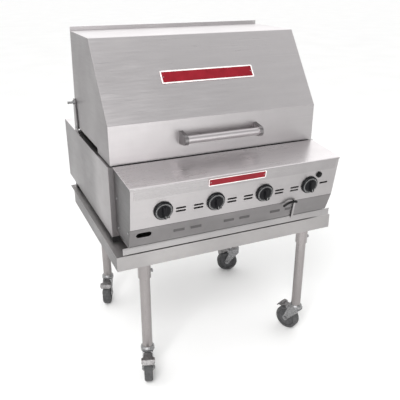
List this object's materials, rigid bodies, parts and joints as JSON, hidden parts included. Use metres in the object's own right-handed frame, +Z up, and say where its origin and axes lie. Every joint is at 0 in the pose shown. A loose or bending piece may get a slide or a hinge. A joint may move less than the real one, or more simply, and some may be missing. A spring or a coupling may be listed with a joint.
{
  "type": "charbroiler grill",
  "caption": "Stainless gas charbroiler with a lift-up hood, control box and drip drawer, on an open stand with braked swivel casters.",
  "frame": {"origin": "on the floor, at the centre of the footprint of the whole grill", "axes": "+X to the operator's right, +Y towards the back, +Z up"},
  "size_m": [0.946, 0.993, 1.3275],
  "materials": {
    "body_stainless": "brushed, fine horizontal grain",
    "stand_stainless": "brushed, slightly duller",
    "handle_steel": "polished satin",
    "plated_steel": "bright zinc plate",
    "pedal_steel": "bright zinc plate, worn",
    "pipe_steel": "black pipe",
    "firebox_steel": "heat-stained",
    "grate_iron": "seasoned",
    "valve_brass": "satin",
    "dark_steel": "matt black",
    "wheel_rubber": "matt dark grey",
    "wheel_hub": "satin grey",
    "knob_plastic": "satin black",
    "black_plastic": "gloss black",
    "badge_enamel": "gloss red enamel with a pale border"
  },
  "bodies": {
    "root": {"stand_top": "stand_stainless", "apron_front": "stand_stainless", "apron_rear": "stand_stainless", "apron_sides": "stand_stainless", "leg_sockets": "stand_stainless", "stand_legs": "stand_stainless", "caster_stems": "plated_steel", "side_panel_left": "body_stainless", "side_panel_right": "body_stainless", "rear_panel": "body_stainless", "front_bulkhead": "body_stainless", "firebox_rear_wall": "body_stainless", "floor_pan": "body_stainless", "rear_deck": "body_stainless", "body_feet": "dark_steel", "grate_rails": "firebox_steel", "cooking_grates": "grate_iron", "radiants": "firebox_steel", "burners": "firebox_steel", "gas_manifold": "pipe_steel", "gas_valves": "valve_brass", "control_ledge": "body_stainless", "control_panel": "body_stainless", "lower_panel": "body_stainless", "control_end_caps": "body_stainless", "igniter_body": "black_plastic", "panel_badge": "badge_enamel", "hinge_brackets": "body_stainless", "hood_stop_rail": "body_stainless", "hinge_pins": "plated_steel", "screws": "plated_steel"},
    "hood": {"hood_shell": "body_stainless", "hood_side_left": "body_stainless", "hood_side_right": "body_stainless", "hood_rear": "body_stainless", "hood_handle": "handle_steel", "hood_badge": "badge_enamel"},
    "drawer": {"drip_drawer": "body_stainless", "drawer_pull": "black_plastic"},
    "igniter": {"igniter_button": "black_plastic"},
    "knob_1": {"knob_1": "knob_plastic"},
    "knob_2": {"knob_2": "knob_plastic"},
    "knob_3": {"knob_3": "knob_plastic"},
    "knob_4": {"knob_4": "knob_plastic"},
    "caster_front_left": {"caster_fork_front_left": "plated_steel"},
    "wheel_front_left": {"caster_tyre_front_left": "wheel_rubber", "caster_hub_front_left": "wheel_hub"},
    "pedal_front_left": {"brake_pedal_front_left": "pedal_steel"},
    "caster_front_right": {"caster_fork_front_right": "plated_steel"},
    "wheel_front_right": {"caster_tyre_front_right": "wheel_rubber", "caster_hub_front_right": "wheel_hub"},
    "pedal_front_right": {"brake_pedal_front_right": "pedal_steel"},
    "caster_rear_left": {"caster_fork_rear_left": "plated_steel"},
    "wheel_rear_left": {"caster_tyre_rear_left": "wheel_rubber", "caster_hub_rear_left": "wheel_hub"},
    "pedal_rear_left": {"brake_pedal_rear_left": "pedal_steel"},
    "caster_rear_right": {"caster_fork_rear_right": "plated_steel"},
    "wheel_rear_right": {"caster_tyre_rear_right": "wheel_rubber", "caster_hub_rear_right": "wheel_hub"},
    "pedal_rear_right": {"brake_pedal_rear_right": "pedal_steel"}
  },
  "joints": [
    {"name": "hood_lift", "type": "hinge", "parent": "root", "child": "hood", "pos_m": [0, 0.25055, 1.012], "axis": [-1, 0, 0], "range_deg": [0, 90]},
    {"name": "drawer_slide", "type": "slide", "parent": "root", "child": "drawer", "axis": [0, -1, 0], "range_m": [0, 0.45]},
    {"name": "igniter_press", "type": "slide", "parent": "root", "child": "igniter", "axis": [0, 0.9872, 0.1595], "range_m": [0, 0.004], "stiffness_N_per_m": 500},
    {"name": "knob_turn_1", "type": "hinge", "parent": "root", "child": "knob_1", "pos_m": [-0.3075, -0.46842, 0.7637], "axis": [0, -0.9872, -0.1595], "range_deg": [0, 240]},
    {"name": "knob_turn_2", "type": "hinge", "parent": "root", "child": "knob_2", "pos_m": [-0.1025, -0.46842, 0.7637], "axis": [0, -0.9872, -0.1595], "range_deg": [0, 240]},
    {"name": "knob_turn_3", "type": "hinge", "parent": "root", "child": "knob_3", "pos_m": [0.1025, -0.46842, 0.7637], "axis": [0, -0.9872, -0.1595], "range_deg": [0, 240]},
    {"name": "knob_turn_4", "type": "hinge", "parent": "root", "child": "knob_4", "pos_m": [0.3075, -0.46842, 0.7637], "axis": [0, -0.9872, -0.1595], "range_deg": [0, 240]},
    {"name": "caster_swivel_front_left", "type": "hinge", "parent": "root", "child": "caster_front_left", "pos_m": [-0.358, -0.37845, 0.134], "axis": [0, 0, 1], "continuous": true},
    {"name": "wheel_spin_front_left", "type": "hinge", "parent": "caster_front_left", "child": "wheel_front_left", "pos_m": [-0.36974, -0.41459, 0.054], "axis": [0.9511, -0.309, 0], "continuous": true},
    {"name": "pedal_press_front_left", "type": "hinge", "parent": "caster_front_left", "child": "pedal_front_left", "pos_m": [-0.36727, -0.40699, 0.116], "axis": [0.9511, -0.309, 0], "range_deg": [0, 12]},
    {"name": "caster_swivel_front_right", "type": "hinge", "parent": "root", "child": "caster_front_right", "pos_m": [0.358, -0.37845, 0.134], "axis": [0, 0, 1], "continuous": true},
    {"name": "wheel_spin_front_right", "type": "hinge", "parent": "caster_front_right", "child": "wheel_front_right", "pos_m": [0.34194, -0.34402, 0.054], "axis": [-0.9063, -0.4226, 0], "continuous": true},
    {"name": "pedal_press_front_right", "type": "hinge", "parent": "caster_front_right", "child": "pedal_front_right", "pos_m": [0.34532, -0.35126, 0.116], "axis": [-0.9063, -0.4226, 0], "range_deg": [0, 12]},
    {"name": "caster_swivel_rear_left", "type": "hinge", "parent": "root", "child": "caster_rear_left", "pos_m": [-0.358, 0.23055, 0.134], "axis": [0, 0, 1], "continuous": true},
    {"name": "wheel_spin_rear_left", "type": "hinge", "parent": "caster_rear_left", "child": "wheel_rear_left", "pos_m": [-0.37346, 0.19583, 0.054], "axis": [0.9135, -0.4067, 0], "continuous": true},
    {"name": "pedal_press_rear_left", "type": "hinge", "parent": "caster_rear_left", "child": "pedal_rear_left", "pos_m": [-0.3702, 0.20314, 0.116], "axis": [0.9135, -0.4067, 0], "range_deg": [0, 12]},
    {"name": "caster_swivel_rear_right", "type": "hinge", "parent": "root", "child": "caster_rear_right", "pos_m": [0.358, 0.23055, 0.134], "axis": [0, 0, 1], "continuous": true},
    {"name": "wheel_spin_rear_right", "type": "hinge", "parent": "caster_rear_right", "child": "wheel_rear_right", "pos_m": [0.32229, 0.24354, 0.054], "axis": [-0.342, -0.9397, 0], "continuous": true},
    {"name": "pedal_press_rear_right", "type": "hinge", "parent": "caster_rear_right", "child": "pedal_rear_right", "pos_m": [0.32981, 0.24081, 0.116], "axis": [-0.342, -0.9397, 0], "range_deg": [0, 12]}
  ]
}
